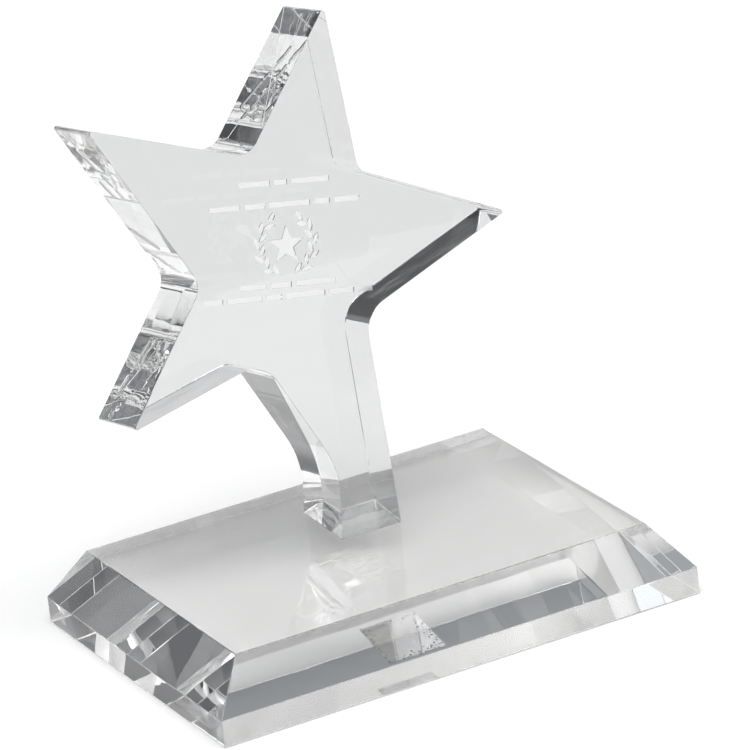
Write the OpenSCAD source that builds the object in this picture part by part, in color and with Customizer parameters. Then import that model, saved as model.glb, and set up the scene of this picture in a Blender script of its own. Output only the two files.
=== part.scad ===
// Crystal star award: a thick clear star on a narrow leg, leaning back, bonded to a bevelled clear base.
// Millimetres. +Z is up and +Y points to the back. The origin is the middle of the face that it rests on.

/* [Base] */
// Width of the base, from side to side
base_w = 152; // [130:1:200]
// Depth of the base, from front to back
base_d = 113; // [90:1:160]
// Thickness of the base
base_h = 22; // [14:0.5:40]
// Height of the upright band below the bevel
band_h = 7.9; // [3:0.1:12]
// How far the bevel reaches in at the left and right sides
side_bevel = 10.6; // [3:0.1:20]
// How far the bevel reaches in at the front and back
end_bevel = 8.6; // [3:0.1:20]

/* [Star] */
// Thickness of the star plate
star_t = 25.5; // [12:0.5:32]
// Backward lean of the star, in degrees
lean = 10.4; // [0:0.2:14]
// How far the star's front foot edge stands behind the middle of the base
foot_y = 1.5; // [-10:0.5:8]
// Height of the star's centre above its foot, up the face
centre_up = 86.9; // [75:0.1:110]
// Sideways place of the star's centre
centre_x = -1.6; // [-10:0.1:10]
// Mean reach of the arms, from the star's centre to their tips
arm_reach = 70; // [56:1:86]
// Mean reach of the notches between the arms, from the star's centre
notch_reach = 30; // [25:0.5:36]
// Turn of the whole star, in degrees; the top arm points this far up from the right
star_turn = 69.7; // [66:0.1:74]
// Radius that rounds the arms' tips
tip_r = 0.8; // [0.3:0.1:2]

/* [Leg] */
// Width of the leg's foot
foot_w = 19.2; // [14:0.2:28]
// Sideways place of the foot's middle
foot_x = 3.6; // [-4:0.1:8]
// Height of the leg's waist above the foot, up the face
waist_up = 20; // [15:0.5:28]
// How far the waist cuts into the leg's left edge
waist_in = 3.7; // [1:0.1:6]
// Radius of the waist's curve
waist_r = 27; // [10:1:32]

/* [Bond] */
// Thickness of the clear adhesive layer between the foot and the base
bond_t = 0.2; // [0.1:0.05:0.5]
// How far the adhesive layer stays inside the foot's outline
bond_inset = 0.3; // [0.1:0.1:1]

/* [Engraving] */
// Depth of the engraving in the star's face
engrave_d = 0.5; // [0.2:0.1:1]
// Clockwise turn of the engraved block, in degrees
engrave_turn = 10; // [0:1:15]
// Sideways place of the engraved block from the star's centre
engrave_x = -2.8; // [-5:0.1:3]
// Radius of the laurel wreath, to the middle between its two rows of leaves
wreath_r = 8.4; // [6.8:0.1:9]
// Length of a laurel leaf
leaf_len = 3.6; // [2.4:0.1:4]
// Width of a laurel leaf
leaf_w = 1.4; // [0.8:0.1:1.8]
// Reach of the small star inside the wreath
emblem_reach = 5.6; // [4:0.1:6.5]
// Height of the dashes in the engraved rows
dash_h = 1.5; // [0.8:0.1:2]
// Gap between two dashes of a row
dash_gap = 1.4; // [0.8:0.1:3]
// Distance that the longest row keeps from the notches beside it
row_margin = 3.5; // [2.5:0.1:8]

/* [Hidden] */

// The arms of a star are 72 degrees apart. These are the hand-cut differences of each arm and notch from
// the mean star, as [reach, degrees], counted counter-clockwise from the top arm. The leg is the fourth arm.
arm_step = 72;
arm_trim = [[-2.6, 0], [2.5, -2.2], [2.4, -0.8], [0, 0], [-2.8, -4.8]];
notch_trim = [[-1.5, 1.8], [1.1, 10.6], [4.7, -9.1], [0.6, -18], [-1.8, -1.1]];
// Radius in each notch, in the same order
notch_r = [6.5, 6.5, 9, 9.7, 4.6];

// Each row of dashes: [distance above the middle of the block, how much shorter than the longest row,
// relative lengths of its dashes]
rows = [
    [18, 24.7, [5, 2, 6]],
    [11.7, 6.3, [6, 4, 8, 3, 5]],
    [-11.1, 22.8, [4, 3, 6]],
    [-14.4, 0, [4, 7, 3, 8, 5, 3]]
];
leaves_per_row = 5;
wreath_half_angle = 56;
leaf_tilt = 28;
leaf_gap = 0.3;
emblem_points = 5;
emblem_notch_share = 0.42;

arc_steps = 16;
tip_steps = 5;
cut_past = 5;
seat_z = base_h + bond_t;
star_centre = [centre_x, centre_up];
foot_left = [foot_x - foot_w / 2, 0];
foot_right = [foot_x + foot_w / 2, 0];
waist = [foot_left[0] + waist_in, waist_up];
// Where the foot's back edge lies up the plate, because the foot is cut level
foot_back_up = star_t * tan(lean);
longest_row = 2 * (notch_reach - row_margin);

function polar(reach, angle) = [reach * cos(angle), reach * sin(angle)];
function unit(v) = v / norm(v);
function arm_tip(i) =
    star_centre + polar(arm_reach + arm_trim[i][0], star_turn + i * arm_step + arm_trim[i][1]);
function notch(i) =
    star_centre + polar(notch_reach + notch_trim[i][0], star_turn + (i + 0.5) * arm_step + notch_trim[i][1]);

// The points of the arc of radius r that rounds corner b between the straight edges to a and c
function rounded(a, b, c, r, steps) =
    let (
        to_a = unit(a - b),
        to_c = unit(c - b),
        half = acos(to_a * to_c) / 2,
        middle = b + unit(to_a + to_c) * r / sin(half),
        start = b + to_a * r / tan(half) - middle,
        side = sign(cross(to_a, to_c)),
        sweep = 180 - 2 * half
    )
    [for (k = [0:steps])
        let (turn = side * -sweep * k / steps)
        middle + [
            start[0] * cos(turn) - start[1] * sin(turn),
            start[0] * sin(turn) + start[1] * cos(turn)
        ]];

// The corners of the plate's outline, counter-clockwise from the top arm: [point, radius, steps]
corners = [
    [arm_tip(0), tip_r, tip_steps],
    [notch(0), notch_r[0], arc_steps],
    [arm_tip(1), tip_r, tip_steps],
    [notch(1), notch_r[1], arc_steps],
    [arm_tip(2), tip_r, tip_steps],
    [notch(2), notch_r[2], arc_steps],
    [waist, waist_r, arc_steps],
    [foot_left, 0, 0],
    [foot_right, 0, 0],
    [notch(3), notch_r[3], arc_steps],
    [arm_tip(4), tip_r, tip_steps],
    [notch(4), notch_r[4], arc_steps]
];
corner_count = len(corners);
function corner(i) = corners[(i + corner_count) % corner_count];
outline = [for (i = [0:corner_count - 1])
    for (p = corner(i)[1] == 0
        ? [corner(i)[0]]
        : rounded(corner(i - 1)[0], corner(i)[0], corner(i + 1)[0], corner(i)[1], corner(i)[2])) p];

// The x of the leg's left and right edges at a height up the plate, below the waist
function leg_left(up) = foot_left[0] + (waist[0] - foot_left[0]) * up / waist_up;
function leg_right(up) = foot_right[0] + (notch(3)[0] - foot_right[0]) * up / notch(3)[1];

// Puts a shape drawn on the plate's face, x to the right and y up the plate, where the leaning plate is.
// The extruded thickness runs to the back.
module on_plate() {
    translate([0, foot_y, seat_z])
        rotate([90 - lean, 0, 0])
            mirror([0, 0, 1])
                children();
}

module bevelled_profile(width, bevel) {
    polygon([
        [-width / 2, 0],
        [width / 2, 0],
        [width / 2, band_h],
        [width / 2 - bevel, base_h],
        [-width / 2 + bevel, base_h],
        [-width / 2, band_h]
    ]);
}

module base_block() {
    color([0.86, 0.89, 0.9, 0.45])
        intersection() {
            rotate([90, 0, 0])
                linear_extrude(base_d, center = true)
                    bevelled_profile(base_w, side_bevel);
            rotate([90, 0, 90])
                linear_extrude(base_w, center = true)
                    bevelled_profile(base_d, end_bevel);
        }
}

module bond_film() {
    depth = star_t / cos(lean);
    color([0.95, 0.96, 0.94, 0.5])
        translate([0, foot_y, base_h])
            linear_extrude(bond_t)
                polygon([
                    [leg_left(0) + bond_inset, bond_inset],
                    [leg_right(0) - bond_inset, bond_inset],
                    [leg_right(foot_back_up) - bond_inset, depth - bond_inset],
                    [leg_left(foot_back_up) + bond_inset, depth - bond_inset]
                ]);
}

module leaf() {
    // Two equal circles that cross at the leaf's ends
    radius = (pow(leaf_len / 2, 2) + pow(leaf_w / 2, 2)) / leaf_w;
    intersection() {
        translate([radius - leaf_w / 2, 0])
            circle(radius, $fn = 96);
        translate([leaf_w / 2 - radius, 0])
            circle(radius, $fn = 96);
    }
}

// One branch of the wreath: an outer and an inner row of leaves that lean away from each other
module branch() {
    leaf_step = 2 * wreath_half_angle / (leaves_per_row - 1);
    for (i = [0:leaves_per_row - 1])
        for (row_side = [-1, 1])
            rotate(-wreath_half_angle + (i + row_side * 0.25) * leaf_step)
                translate([wreath_r + row_side * (leaf_w + leaf_gap) / 2, 0])
                    rotate(-row_side * leaf_tilt)
                        leaf();
}

module wreath() {
    branch();
    mirror([1, 0])
        branch();
}

module small_star() {
    polygon([for (i = [0:2 * emblem_points - 1])
        polar(emblem_reach * (i % 2 == 0 ? 1 : emblem_notch_share), 90 + i * 180 / emblem_points)]);
}

function total(v, upto) = upto == 0 ? 0 : v[upto - 1] + total(v, upto - 1);

module dash_row(length, shares) {
    count = len(shares);
    per_share = (length - (count - 1) * dash_gap) / total(shares, count);
    for (i = [0:count - 1])
        translate([-length / 2 + total(shares, i) * per_share + i * dash_gap, -dash_h / 2])
            square([shares[i] * per_share, dash_h]);
}

module engraving() {
    translate(star_centre + [engrave_x, 0])
        rotate(-engrave_turn) {
            wreath();
            small_star();
            for (row = rows)
                translate([0, row[0]])
                    dash_row(longest_row - row[1], row[2]);
        }
}

module star_plate() {
    reach_all = centre_up + 2 * arm_reach;
    color([0.88, 0.91, 0.92, 0.45])
        difference() {
            on_plate()
                linear_extrude(star_t)
                    polygon(outline);
            on_plate()
                translate([0, 0, -cut_past])
                    linear_extrude(cut_past + engrave_d)
                        engraving();
            // The foot is cut level, to stand on the base
            translate([-reach_all / 2, -reach_all / 2, seat_z - reach_all])
                cube([reach_all, reach_all, reach_all]);
        }
}

base_block();
bond_film();
star_plate();
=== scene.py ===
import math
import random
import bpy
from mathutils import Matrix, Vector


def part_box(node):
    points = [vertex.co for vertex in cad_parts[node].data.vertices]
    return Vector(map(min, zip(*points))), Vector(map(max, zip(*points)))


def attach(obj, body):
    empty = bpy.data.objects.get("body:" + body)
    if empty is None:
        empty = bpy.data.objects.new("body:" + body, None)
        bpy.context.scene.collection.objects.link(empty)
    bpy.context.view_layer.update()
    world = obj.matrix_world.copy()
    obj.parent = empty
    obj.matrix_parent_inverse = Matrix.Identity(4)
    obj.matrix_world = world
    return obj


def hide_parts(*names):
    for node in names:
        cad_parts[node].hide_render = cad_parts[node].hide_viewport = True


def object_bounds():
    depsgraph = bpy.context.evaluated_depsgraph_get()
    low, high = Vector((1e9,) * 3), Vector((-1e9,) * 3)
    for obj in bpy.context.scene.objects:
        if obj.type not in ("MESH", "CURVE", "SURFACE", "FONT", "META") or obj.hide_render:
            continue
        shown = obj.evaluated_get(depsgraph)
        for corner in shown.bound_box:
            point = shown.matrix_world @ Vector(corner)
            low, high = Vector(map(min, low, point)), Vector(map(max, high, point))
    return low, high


bl_info = {
    "name": "Crystal Star Award",
    "version": (1, 0, 0),
    "blender": (4, 5, 0),
    "location": "View3D > Sidebar > Award",
    "description": "Finishes a clear star award: polished blocks, engraved face, bond layer and studio",
    "category": "Object",
}

import bmesh
import bpy
from bpy.props import FloatProperty, FloatVectorProperty, IntProperty, PointerProperty
from mathutils import Matrix, Vector

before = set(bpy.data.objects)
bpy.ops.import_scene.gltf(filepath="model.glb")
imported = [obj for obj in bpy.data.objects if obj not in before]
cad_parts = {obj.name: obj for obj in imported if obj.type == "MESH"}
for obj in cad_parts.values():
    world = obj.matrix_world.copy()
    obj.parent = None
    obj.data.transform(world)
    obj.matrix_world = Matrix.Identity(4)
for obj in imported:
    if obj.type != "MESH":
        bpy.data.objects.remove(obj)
cad_low, cad_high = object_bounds()

MERGE_DISTANCE = 2e-6
FLAT_ANGLE = math.radians(0.3)
CREASE_ANGLE = math.radians(30)
ARRIS_SEGMENTS = 2
# A face whose normal has at least this much of the front direction in it belongs to the star's front.
FACES_FRONT = 0.7
# The same for the star's two broad faces and the floors of the engraving, along the plate's own normal.
FACES_BROAD = 0.9
# A corner this far below the star's front face belongs to the engraving.
BELOW_FACE = 1e-5
# The engraving is cut less deep than this share of the plate's thickness.
ENGRAVING_SHARE = 0.25

BUBBLE_SEED = 7
# The bubbles start this share of the way from the rim to the foot's middle, and reach this much further in.
BUBBLE_RIM = 0.04
BUBBLE_BORDER = 0.3
# The smallest bubble's length as a share of the largest's, then a bubble's least and greatest width as a share
# of its own length.
SMALLEST_BUBBLE = 0.35
NARROWEST_BUBBLE = 0.6
WIDEST_BUBBLE = 1.4
# Half a bubble's height, as a share of the adhesive's thickness.
BUBBLE_HEIGHT = 0.4


# ---------------------------------------------------------------- the plate's own direction


def star_plane():
    """A point on the star's front face, and the face's outward normal."""
    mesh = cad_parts["star_plate"].data
    front = max(mesh.polygons, key=lambda face: face.area if face.normal.y < -FACES_FRONT else 0)
    return front.center.copy(), front.normal.copy()


FACE_POINT, FACE_NORMAL = star_plane()


# ---------------------------------------------------------------- sizes and colours


class AwardCrystalSettings(bpy.types.PropertyGroup):
    arris: FloatProperty(
        name="Arris",
        description="Width of the fine polished bevel on the outer edges",
        default=0.00025,
        min=0.00005,
        max=0.001,
        unit="LENGTH",
    )
    ior: FloatProperty(
        name="Index of refraction",
        description="How strongly the clear material bends light",
        default=1.49,
        min=1.3,
        max=1.7,
    )
    # The broad faces get a darker tint than the cut edges of the same crystal: painted shade on the star's
    # faces.
    face_painted_shade_tint: FloatVectorProperty(
        name="Face tint with painted shade",
        description="Colour that light keeps at the star's two broad faces",
        subtype="COLOR",
        default=(0.74, 0.743, 0.747),
        min=0,
        max=1,
    )
    star_tint: FloatVectorProperty(
        name="Edge tint",
        description="Colour that light keeps at the star's cut edges",
        subtype="COLOR",
        default=(0.93, 0.932, 0.935),
        min=0,
        max=1,
    )
    base_tint: FloatVectorProperty(
        name="Base tint",
        description="Colour that light keeps at each surface of the base",
        subtype="COLOR",
        default=(0.99, 0.988, 0.982),
        min=0,
        max=1,
    )
    ripple: FloatProperty(
        name="Edge ripple",
        description="Depth of the slow waves that flame polishing leaves in the cut edges",
        default=0.00009,
        min=0,
        max=0.001,
        unit="LENGTH",
    )
    frost: FloatProperty(
        name="Frost",
        description="Roughness of the floor of the engraving",
        default=0.42,
        min=0,
        max=1,
        subtype="FACTOR",
    )


class AwardBondSettings(bpy.types.PropertyGroup):
    overlap: FloatProperty(
        name="Wetting",
        description="How far the clear adhesive reaches into both blocks, so that no air gap is left",
        default=0.00005,
        min=0,
        max=0.0002,
        unit="LENGTH",
    )
    bubbles: IntProperty(
        name="Bubbles",
        description="Number of tiny bubbles along the rim of the adhesive",
        default=110,
        min=0,
        max=400,
    )
    bubble_size: FloatProperty(
        name="Bubble size",
        description="Radius of the largest bubble",
        default=0.00036,
        min=0.00005,
        max=0.0005,
        unit="LENGTH",
    )


class AwardStageSettings(bpy.types.PropertyGroup):
    floor_size: FloatProperty(
        name="Floor size",
        description="Side of the square floor",
        default=8.0,
        min=1,
        unit="LENGTH",
    )
    floor_gap: FloatProperty(
        name="Air gap",
        description="Thin air layer between the base's underside and the floor",
        default=0.0003,
        min=0,
        max=0.002,
        unit="LENGTH",
    )
    floor_colour: FloatVectorProperty(
        name="Floor colour",
        description="Colour of the pale floor",
        subtype="COLOR",
        default=(0.9, 0.9, 0.9),
        min=0,
        max=1,
    )
    floor_glow: FloatProperty(
        name="Floor glow",
        description="Light that the light-table floor gives off by itself",
        default=0.20,
        min=0,
    )
    camera_place: FloatVectorProperty(
        name="Camera place",
        description="Where the camera stands",
        subtype="XYZ",
        default=(-0.7042, -1.5045, 0.7211),
    )
    camera_heading: FloatProperty(
        name="Camera heading",
        description="Turn of the camera from straight ahead to the right",
        default=math.radians(25.390),
        subtype="ANGLE",
    )
    camera_dip: FloatProperty(
        name="Camera dip",
        description="How far the camera looks down",
        default=math.radians(21.381),
        subtype="ANGLE",
    )
    camera_roll: FloatProperty(
        name="Camera roll",
        description="Turn of the camera about its own line of sight",
        default=math.radians(-7.0606),
        subtype="ANGLE",
    )
    camera_lens: FloatProperty(
        name="Lens",
        description="Focal length of the camera, in millimetres",
        default=303.44,
        min=20,
    )


# ---------------------------------------------------------------- small helpers


def link_piece(name, mesh):
    """A new object at the origin that shows the mesh."""
    piece = bpy.data.objects.new(name, mesh)
    bpy.context.scene.collection.objects.link(piece)
    return piece


def merged_copy(node):
    """A bmesh copy of a CAD node with its loose triangles joined and its flat faces whole."""
    bm = bmesh.new()
    bm.from_mesh(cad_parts[node].data)
    bmesh.ops.remove_doubles(bm, verts=bm.verts, dist=MERGE_DISTANCE)
    bmesh.ops.dissolve_limit(
        bm,
        angle_limit=FLAT_ANGLE,
        verts=bm.verts,
        edges=bm.edges,
        use_dissolve_boundaries=False,
    )
    bmesh.ops.recalc_face_normals(bm, faces=bm.faces)
    bm.normal_update()
    return bm


def soften(bm, edges, width):
    """Cuts a fine rounded arris along the edges."""
    bmesh.ops.bevel(
        bm,
        geom=edges,
        offset=width,
        offset_type="OFFSET",
        affect="EDGES",
        segments=ARRIS_SEGMENTS,
        profile=0.5,
        material=-1,
        clamp_overlap=True,
    )


def finish_mesh(bm, name):
    """Writes the bmesh to a mesh with smooth faces that crease at hard edges."""
    mesh = bpy.data.meshes.new(name)
    bm.to_mesh(mesh)
    bm.free()
    mesh.shade_smooth()
    mesh.set_sharp_from_angle(angle=CREASE_ANGLE)
    return mesh


def keep_flats_flat(piece):
    """Weights the shading by face area, so that the arrises round off and the flats stay flat."""
    weighted = piece.modifiers.new("flats", "WEIGHTED_NORMAL")
    weighted.mode = "FACE_AREA"
    weighted.keep_sharp = True


# ---------------------------------------------------------------- materials


def new_material(name):
    """A node material and its Principled shader."""
    material = bpy.data.materials.new(name)
    material.use_nodes = True
    return material, material.node_tree.nodes["Principled BSDF"]


def add_node(material, kind, **values):
    """A node with its properties and unlinked inputs set by name."""
    node = material.node_tree.nodes.new(kind)
    for key, value in values.items():
        if hasattr(node, key):
            setattr(node, key, value)
        else:
            node.inputs[key.replace("_", " ")].default_value = value
    return node


def join(material, source, output, target, socket):
    """Links one node's output to another's input."""
    material.node_tree.links.new(source.outputs[output], target.inputs[socket])


# Each clear finish: how deep its ripples are, as a share of the edge ripple, how close together they are, and
# how rough the least polished spots are.
CLEAR_FINISHES = {
    "base crystal": (0.15, 60.0, 0.01),
    "star face crystal with painted shade": (0.1, 40.0, 0.02),
    "star edge crystal": (1.0, 70.0, 0.01),
    "clear adhesive": (0.0, 60.0, 0.01),
}
POLISH_SCALE = 90.0
ENGRAVING_TINT = (0.98, 0.98, 0.98, 1)
ENGRAVING_GRAIN = 2500.0
FROST_SPREAD = 0.1
BUBBLE_SPECKLE = 1800.0
# Air has no colour of its own: the bubbles' dark grey is painted shade and their light grey is a painted
# silvery sheen.
BUBBLE_PAINTED_SHADE = (0.06, 0.065, 0.07, 1)
BUBBLE_PAINTED_SHEEN = (0.35, 0.36, 0.37, 1)
BUBBLE_ROUGHNESS = 0.35


def clear_material(name, settings, tint):
    """Polished clear crystal: slow ripples in the surface and a faint change of polish."""
    share, ripple_scale, cloud = CLEAR_FINISHES[name]
    material, shader = new_material(name)
    shader.inputs["Base Color"].default_value = (*tint, 1)
    shader.inputs["IOR"].default_value = settings.ior
    shader.inputs["Transmission Weight"].default_value = 1
    place = add_node(material, "ShaderNodeTexCoord")
    polish = add_node(material, "ShaderNodeTexNoise", Scale=POLISH_SCALE, Detail=3.0, Roughness=0.6)
    join(material, place, "Object", polish, "Vector")
    gloss = add_node(material, "ShaderNodeMapRange")
    gloss.inputs["To Min"].default_value = 0.0
    gloss.inputs["To Max"].default_value = cloud
    join(material, polish, "Fac", gloss, "Value")
    join(material, gloss, "Result", shader, "Roughness")
    waves = add_node(material, "ShaderNodeTexNoise", Scale=ripple_scale, Detail=2.0, Roughness=0.4)
    join(material, place, "Object", waves, "Vector")
    bump = add_node(material, "ShaderNodeBump", Strength=1.0, Distance=settings.ripple * share)
    join(material, waves, "Fac", bump, "Height")
    join(material, bump, "Normal", shader, "Normal")
    return material


def frosted_material(settings):
    """The engraving's floor: clear crystal that the cutter has left matt, with a fine grain."""
    material, shader = new_material("frosted engraving")
    shader.inputs["Base Color"].default_value = ENGRAVING_TINT
    shader.inputs["IOR"].default_value = settings.ior
    shader.inputs["Transmission Weight"].default_value = 1
    place = add_node(material, "ShaderNodeTexCoord")
    grain = add_node(material, "ShaderNodeTexNoise", Scale=ENGRAVING_GRAIN, Detail=2.0, Roughness=0.6)
    join(material, place, "Object", grain, "Vector")
    matt = add_node(material, "ShaderNodeMapRange")
    matt.inputs["To Min"].default_value = settings.frost - FROST_SPREAD
    matt.inputs["To Max"].default_value = settings.frost + FROST_SPREAD
    join(material, grain, "Fac", matt, "Value")
    join(material, matt, "Result", shader, "Roughness")
    return material


def bubble_material(settings):
    """Trapped air in the adhesive, drawn as opaque specks in painted shade and a painted silvery sheen, each a
    little different.
    """
    material, shader = new_material("trapped air")
    place = add_node(material, "ShaderNodeTexCoord")
    speckle = add_node(material, "ShaderNodeTexNoise", Scale=BUBBLE_SPECKLE, Detail=1.0, Roughness=0.5)
    join(material, place, "Object", speckle, "Vector")
    shade = add_node(material, "ShaderNodeMix", data_type="RGBA")
    # Painted shade to painted sheen, mixed at random across each speck.
    shade.inputs["A"].default_value = BUBBLE_PAINTED_SHADE
    shade.inputs["B"].default_value = BUBBLE_PAINTED_SHEEN
    join(material, speckle, "Fac", shade, "Factor")
    material.node_tree.links.new(shade.outputs["Result"], shader.inputs["Base Color"])
    shader.inputs["Roughness"].default_value = BUBBLE_ROUGHNESS
    shader.inputs["IOR"].default_value = settings.ior
    return material


# ---------------------------------------------------------------- the pieces


class AWARD_OT_base_block(bpy.types.Operator):
    """Makes the polished, bevelled base"""

    bl_idname = "award.base_block"
    bl_label = "Base block"

    def execute(self, context):
        settings = context.scene.award_crystal
        bm = merged_copy("base_block")
        soften(bm, list(bm.edges), settings.arris)
        piece = link_piece("base_polished", finish_mesh(bm, "base_polished"))
        piece.data.materials.append(clear_material("base crystal", settings, settings.base_tint))
        keep_flats_flat(piece)
        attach(piece, "root")
        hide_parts("base_block")
        return {"FINISHED"}


def engraving_faces(bm):
    """All the faces of the engraving in the star's front, and those that are its floors."""
    depths = {vert: (FACE_POINT - vert.co).dot(FACE_NORMAL) for vert in bm.verts}
    thickness = max(depths.values())
    cut = max(depth for depth in depths.values() if depth < thickness * ENGRAVING_SHARE)
    pocket = {
        face
        for face in bm.faces
        if all(depths[vert] < cut + BELOW_FACE for vert in face.verts)
        and any(depths[vert] > BELOW_FACE for vert in face.verts)
    }
    floors = [face for face in pocket if all(depths[vert] > BELOW_FACE for vert in face.verts)]
    return pocket, floors


class AWARD_OT_star_plate(bpy.types.Operator):
    """Makes the leaning star with its polished edges and engraved face"""

    bl_idname = "award.star_plate"
    bl_label = "Star plate"

    def execute(self, context):
        settings = context.scene.award_crystal
        bm = merged_copy("star_plate")
        pocket, floors = engraving_faces(bm)
        outer = [
            edge
            for edge in bm.edges
            if len(edge.link_faces) == 2
            and not any(face in pocket for face in edge.link_faces)
            and edge.calc_face_angle() > CREASE_ANGLE
        ]
        for face in bm.faces:
            face.material_index = 0 if abs(face.normal.dot(FACE_NORMAL)) > FACES_BROAD else 1
        for face in floors:
            face.material_index = 2
        soften(bm, outer, settings.arris)
        piece = link_piece("star_polished", finish_mesh(bm, "star_polished"))
        # The star's broad faces take the darker tint, which is painted shade.
        piece.data.materials.append(clear_material("star face crystal with painted shade", settings, settings.face_painted_shade_tint))
        piece.data.materials.append(clear_material("star edge crystal", settings, settings.star_tint))
        piece.data.materials.append(frosted_material(settings))
        keep_flats_flat(piece)
        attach(piece, "root")
        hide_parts("star_plate")
        return {"FINISHED"}


class AWARD_OT_bond_film(bpy.types.Operator):
    """Makes the clear adhesive layer, which wets the foot and the base"""

    bl_idname = "award.bond_film"
    bl_label = "Bond film"

    def execute(self, context):
        crystal = context.scene.award_crystal
        settings = context.scene.award_bond
        bm = merged_copy("bond_film")
        low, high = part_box("bond_film")
        middle = (low.z + high.z) / 2
        for vert in bm.verts:
            vert.co.z += settings.overlap if vert.co.z > middle else -settings.overlap
        piece = link_piece("bond_layer", finish_mesh(bm, "bond_layer"))
        piece.data.materials.append(clear_material("clear adhesive", crystal, crystal.base_tint))
        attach(piece, "root")
        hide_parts("bond_film")
        return {"FINISHED"}


def mix(low, high, share):
    """The value that lies this share of the way from low to high."""
    return low + (high - low) * share


def foot_rim():
    """The corners of the adhesive's top face, in order round it."""
    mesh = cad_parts["bond_film"].data
    top = max(vert.co.z for vert in mesh.vertices)
    places = {
        tuple(round(value, 6) for value in vert.co)
        for vert in mesh.vertices
        if vert.co.z > top - MERGE_DISTANCE
    }
    corners = [Vector(place) for place in places]
    middle = sum(corners, Vector()) / len(corners)
    return sorted(corners, key=lambda c: math.atan2(c.y - middle.y, c.x - middle.x))


class AWARD_OT_bond_bubbles(bpy.types.Operator):
    """Makes the tiny air bubbles that were caught along the rim of the adhesive"""

    bl_idname = "award.bond_bubbles"
    bl_label = "Bond bubbles"

    def execute(self, context):
        settings = context.scene.award_bond
        crystal = context.scene.award_crystal
        draw = random.Random(BUBBLE_SEED)
        low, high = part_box("bond_film")
        corners = foot_rim()
        middle = sum(corners, Vector()) / len(corners)
        bm = bmesh.new()
        for _ in range(settings.bubbles):
            side = draw.randrange(len(corners))
            start, end = corners[side], corners[(side + 1) % len(corners)]
            place = start.lerp(end, draw.random())
            place = place.lerp(middle, BUBBLE_BORDER * draw.random() ** 2 + BUBBLE_RIM)
            place.z = (low.z + high.z) / 2
            length = settings.bubble_size * mix(SMALLEST_BUBBLE, 1, draw.random())
            width = length * mix(NARROWEST_BUBBLE, WIDEST_BUBBLE, draw.random())
            shape = Matrix.Diagonal((length, width, (high.z - low.z) * BUBBLE_HEIGHT, 1))
            bmesh.ops.create_icosphere(
                bm,
                subdivisions=1,
                radius=1.0,
                matrix=Matrix.Translation(place) @ shape,
            )
        piece = link_piece("bond_bubbles", finish_mesh(bm, "bond_bubbles"))
        piece.data.materials.append(bubble_material(crystal))
        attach(piece, "root")
        return {"FINISHED"}


# ---------------------------------------------------------------- the studio


FLOOR_GRAIN = 30.0
FLOOR_SMOOTH = 0.58
FLOOR_ROUGH = 0.66


def floor_material(settings):
    """A pale, evenly lit floor with a faint grain."""
    material, shader = new_material("pale floor")
    place = add_node(material, "ShaderNodeTexCoord")
    grain = add_node(material, "ShaderNodeTexNoise", Scale=FLOOR_GRAIN, Detail=4.0, Roughness=0.6)
    join(material, place, "Object", grain, "Vector")
    shade = add_node(material, "ShaderNodeMapRange")
    shade.inputs["To Min"].default_value = FLOOR_SMOOTH
    shade.inputs["To Max"].default_value = FLOOR_ROUGH
    join(material, grain, "Fac", shade, "Value")
    join(material, shade, "Result", shader, "Roughness")
    shader.inputs["Base Color"].default_value = (*settings.floor_colour, 1)
    shader.inputs["Specular IOR Level"].default_value = 0.0
    shader.inputs["Emission Color"].default_value = (*settings.floor_colour, 1)
    shader.inputs["Emission Strength"].default_value = settings.floor_glow
    return material


WARM = (1.0, 0.975, 0.93)
PLAIN = (1.0, 1.0, 1.0)
COOL = (0.92, 0.965, 1.0)

# Each soft light: where it hangs round the award in degrees (0 is in front, 90 to the right, 180 behind), its
# height above the horizon, half its width and half its height, its brightness and its colour.
SOFT_LIGHTS = {
    "overhead box": (345, 74, 89, 22, 3.3, PLAIN),
    "back card": (164, 4, 14, 7.5, 0.80, PLAIN),
    "back right box": (146, 31, 30, 13, 0.27, COOL),
    "right strip": (56, 20, 9, 40, 1.50, WARM),
    "front box": (344, 49, 23, 7, 2.25, PLAIN),
    "left back card": (215, 20, 8, 13, 0.90, COOL),
    "front right box": (19, 74, 66, 12, 1.30, WARM),
    "low back wall": (205, 2, 12, 4, 0.18, COOL),
    "front right card": (25, 15, 14, 7, 0.13, PLAIN),
    "left side glow": (242, 42, 29, 40, 0.34, COOL),
}
LIGHT_EDGE = math.radians(2.5)
# Light is thrown from wall to wall inside the blocks many times before it leaves them.
LIGHT_BOUNCES = 20
ROOM_GREY = (0.076, 0.078, 0.083)


def maths(tree, operation, *values):
    """A maths node; each value is a number or another node's output."""
    node = tree.nodes.new("ShaderNodeMath")
    node.operation = operation
    for socket, value in zip(node.inputs, values):
        if isinstance(value, (int, float)):
            socket.default_value = value
        else:
            tree.links.new(value, socket)
    return node.outputs[0]


def soft_window(tree, angle, middle, half):
    """1 within half of the middle angle and 0 outside it, with a soft edge."""
    away = maths(tree, "SUBTRACT", angle, middle)
    away = maths(tree, "ABSOLUTE", maths(tree, "WRAP", away, math.pi, -math.pi))
    fade = tree.nodes.new("ShaderNodeMapRange")
    fade.interpolation_type = "SMOOTHSTEP"
    tree.links.new(away, fade.inputs["Value"])
    fade.inputs["From Min"].default_value = half + LIGHT_EDGE
    fade.inputs["From Max"].default_value = half - LIGHT_EDGE
    return fade.outputs["Result"]


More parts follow.
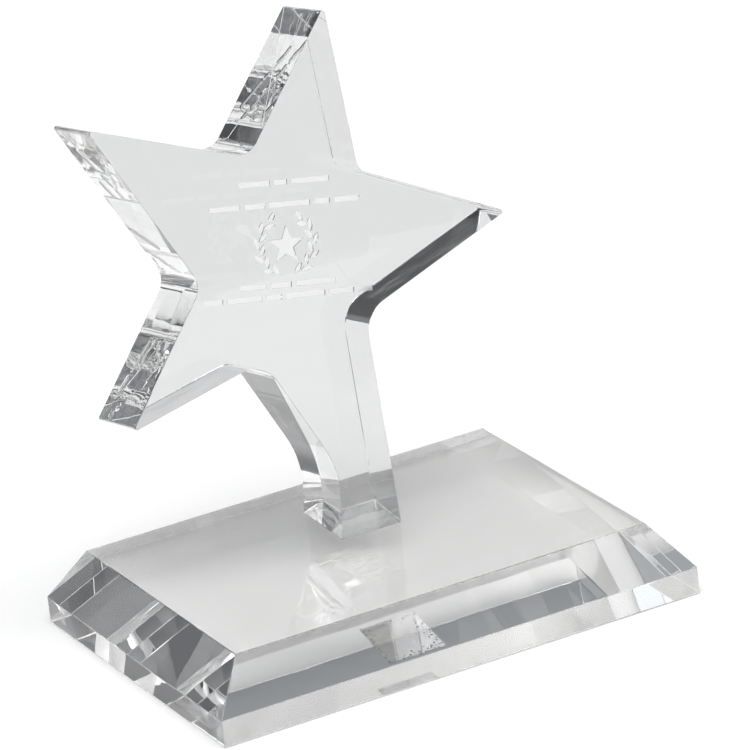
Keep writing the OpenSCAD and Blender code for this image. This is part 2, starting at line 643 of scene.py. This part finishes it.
def studio_world():
    """A dim room with soft lights round the award; where the camera looks past it, it sees plain white."""
    world = bpy.data.worlds.new("studio")
    world.use_nodes = True
    tree = world.node_tree
    place = tree.nodes.new("ShaderNodeTexCoord")
    split = tree.nodes.new("ShaderNodeSeparateXYZ")
    tree.links.new(place.outputs["Generated"], split.inputs[0])
    back = maths(tree, "MULTIPLY", split.outputs["Y"], -1)
    around = maths(tree, "ARCTAN2", split.outputs["X"], back)
    height = maths(tree, "ARCSINE", split.outputs["Z"])
    glow = None
    for turn, lift, half_width, half_height, brightness, colour in SOFT_LIGHTS.values():
        across = soft_window(tree, around, math.radians(turn), math.radians(half_width))
        along = soft_window(tree, height, math.radians(lift), math.radians(half_height))
        light = maths(tree, "MULTIPLY", maths(tree, "MULTIPLY", across, along), brightness)
        added = tree.nodes.new("ShaderNodeVectorMath")
        added.operation = "MULTIPLY_ADD"
        tree.links.new(light, added.inputs[0])
        added.inputs[1].default_value = colour
        if glow is None:
            added.inputs[2].default_value = ROOM_GREY
        else:
            tree.links.new(glow, added.inputs[2])
        glow = added.outputs["Vector"]
    path = tree.nodes.new("ShaderNodeLightPath")
    seen = tree.nodes.new("ShaderNodeMixRGB")
    tree.links.new(path.outputs["Is Camera Ray"], seen.inputs["Fac"])
    tree.links.new(glow, seen.inputs["Color1"])
    seen.inputs["Color2"].default_value = (1, 1, 1, 1)
    tree.links.new(seen.outputs["Color"], tree.nodes["Background"].inputs["Color"])
    return world


SENSOR_WIDTH = 36


def add_camera(settings):
    """The camera, placed by where it stands, its heading, dip and roll."""
    heading, dip = settings.camera_heading, settings.camera_dip
    forward = Vector(
        (
            math.sin(heading) * math.cos(dip),
            math.cos(heading) * math.cos(dip),
            -math.sin(dip),
        )
    )
    right = Vector((math.cos(heading), -math.sin(heading), 0))
    up = right.cross(forward)
    turn = Matrix.Rotation(settings.camera_roll, 3, forward)
    axes = Matrix((turn.inverted() @ right, turn.inverted() @ up, -forward)).transposed()
    data = bpy.data.cameras.new("camera")
    data.lens = settings.camera_lens
    data.sensor_width = SENSOR_WIDTH
    camera = bpy.data.objects.new("camera", data)
    camera.matrix_world = Matrix.Translation(settings.camera_place) @ axes.to_4x4()
    bpy.context.scene.collection.objects.link(camera)
    bpy.context.scene.camera = camera


class AWARD_OT_stage(bpy.types.Operator):
    """Makes the pale floor, the soft studio light and the camera"""

    bl_idname = "award.stage"
    bl_label = "Stage"

    def execute(self, context):
        settings = context.scene.award_stage
        bm = bmesh.new()
        bmesh.ops.create_grid(
            bm,
            x_segments=1,
            y_segments=1,
            size=settings.floor_size / 2,
            matrix=Matrix.Translation((0, 0, cad_low.z - settings.floor_gap)),
        )
        floor = link_piece("floor", finish_mesh(bm, "floor"))
        floor.data.materials.append(floor_material(settings))
        context.scene.world = studio_world()
        context.scene.view_settings.view_transform = "Standard"
        context.scene.cycles.max_bounces = LIGHT_BOUNCES
        context.scene.cycles.transmission_bounces = LIGHT_BOUNCES
        context.scene.cycles.glossy_bounces = LIGHT_BOUNCES
        add_camera(settings)
        return {"FINISHED"}


# ---------------------------------------------------------------- the panel and the run


class AWARD_PT_sidebar(bpy.types.Panel):
    """Lists the award's pieces and their sizes"""

    bl_label = "Crystal Star Award"
    bl_idname = "AWARD_PT_sidebar"
    bl_space_type = "VIEW_3D"
    bl_region_type = "UI"
    bl_category = "Award"

    def draw(self, context):
        layout = self.layout
        for group in (context.scene.award_crystal, context.scene.award_bond, context.scene.award_stage):
            box = layout.box()
            for name in group.__annotations__:
                box.prop(group, name)
        for operator in OPERATORS:
            layout.operator(operator.bl_idname)


SETTINGS = {
    "award_crystal": AwardCrystalSettings,
    "award_bond": AwardBondSettings,
    "award_stage": AwardStageSettings,
}
OPERATORS = (
    AWARD_OT_stage,
    AWARD_OT_base_block,
    AWARD_OT_star_plate,
    AWARD_OT_bond_film,
    AWARD_OT_bond_bubbles,
)
CLASSES = (*SETTINGS.values(), *OPERATORS, AWARD_PT_sidebar)


def register():
    """Registers the classes and puts the settings on the scene."""
    for cls in CLASSES:
        bpy.utils.register_class(cls)
    for name, group in SETTINGS.items():
        setattr(bpy.types.Scene, name, PointerProperty(type=group))


def unregister():
    """Takes the settings off the scene and the classes out again."""
    for name in SETTINGS:
        delattr(bpy.types.Scene, name)
    for cls in reversed(CLASSES):
        bpy.utils.unregister_class(cls)


def main():
    """Builds the stage and every piece."""
    register()
    bpy.ops.award.stage()
    bpy.ops.award.base_block()
    bpy.ops.award.star_plate()
    bpy.ops.award.bond_film()
    bpy.ops.award.bond_bubbles()


if __name__ == "__main__":
    main()
